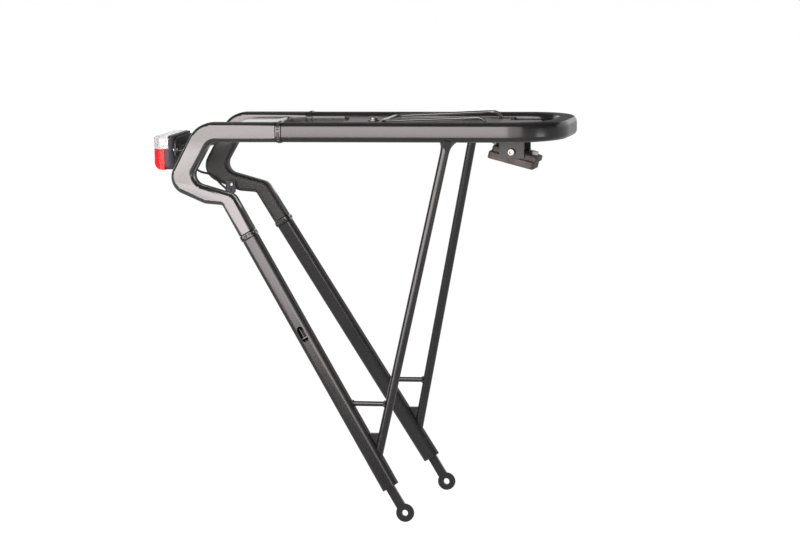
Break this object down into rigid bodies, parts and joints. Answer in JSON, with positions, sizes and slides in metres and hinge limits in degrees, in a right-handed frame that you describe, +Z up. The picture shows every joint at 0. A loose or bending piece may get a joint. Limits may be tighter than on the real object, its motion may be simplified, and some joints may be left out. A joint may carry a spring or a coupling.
{
  "type": "bicycle rear rack",
  "caption": "Bicycle rear rack: bent tube platform on splayed legs and struts, with a spring clamp, a tail light and a swivelling mudguard bracket.",
  "frame": {"origin": "midway between the bolt holes of the two feet", "axes": "+X towards the front of the bicycle, +Y to its left side, +Z up"},
  "size_m": [0.3745, 0.178, 0.3508],
  "materials": {
    "frame_black": "satin black coating on aluminium",
    "weld_black": "satin black coating over rippled weld beads",
    "sheet_black": "glossier black coating on sheet",
    "spring_wire": "black coated spring steel",
    "zinc": "bright zinc plating",
    "bracket_grey": "warm dark grey cast alloy",
    "black_plastic": "fine grained black plastic",
    "red_lens": "clear red lens with a prism pattern inside",
    "clear_lens": "clear, lightly frosted lens",
    "board_green": "green solder mask",
    "rubber": "matt black rubber"
  },
  "bodies": {
    "rack": {"clamp_axle": "spring_wire", "clamp_spring_left": "zinc", "clamp_spring_right": "zinc", "foot_left": "frame_black", "foot_right": "frame_black", "front_plate": "sheet_black", "gusset_left": "frame_black", "gusset_right": "frame_black", "lead_clip": "black_plastic", "lead_clip_screw": "zinc", "lead_connector": "black_plastic", "leg_bead_left": "weld_black", "leg_bead_right": "weld_black", "leg_left": "frame_black", "leg_right": "frame_black", "light_board": "board_green", "light_bracket": "frame_black", "light_grommet": "rubber", "light_housing": "black_plastic", "light_lead": "rubber", "light_lens_clear": "clear_lens", "light_lens_red": "red_lens", "light_nut_left": "frame_black", "light_nut_right": "frame_black", "light_stud_left": "zinc", "light_stud_right": "zinc", "light_washer_left": "frame_black", "light_washer_right": "frame_black", "middle_nut": "zinc", "middle_plate": "sheet_black", "middle_screw": "zinc", "middle_washer": "zinc", "pannier_rod_left": "frame_black", "pannier_rod_right": "frame_black", "pivot_nut": "zinc", "pivot_screw": "zinc", "pivot_washer": "zinc", "rail_bead_left": "weld_black", "rail_bead_right": "weld_black", "rear_bend_left": "frame_black", "rear_bend_right": "frame_black", "rear_plate": "sheet_black", "strap_pin_left": "zinc", "strap_pin_right": "zinc", "strut_left": "frame_black", "strut_right": "frame_black", "top_loop": "frame_black"},
    "clamp": {"clamp_wire": "spring_wire"},
    "mudguard_base": {"mudguard_base_upper": "bracket_grey", "mudguard_base_lower": "bracket_grey", "mudguard_bolt_rear": "zinc", "mudguard_bolt_front": "zinc"}
  },
  "joints": [
    {"name": "clamp_hinge", "type": "hinge", "parent": "rack", "child": "clamp", "pos_m": [0.0617, 0, 0.3275], "axis": [0, 1, 0], "range_deg": [0, 100], "stiffness_Nm_per_rad": 0.4, "springref_deg": -85.94},
    {"name": "mudguard_swivel", "type": "hinge", "parent": "rack", "child": "mudguard_base", "pos_m": [0.0852, 0, 0.31], "axis": [0, 1, 0], "range_deg": [-20, 20]}
  ]
}
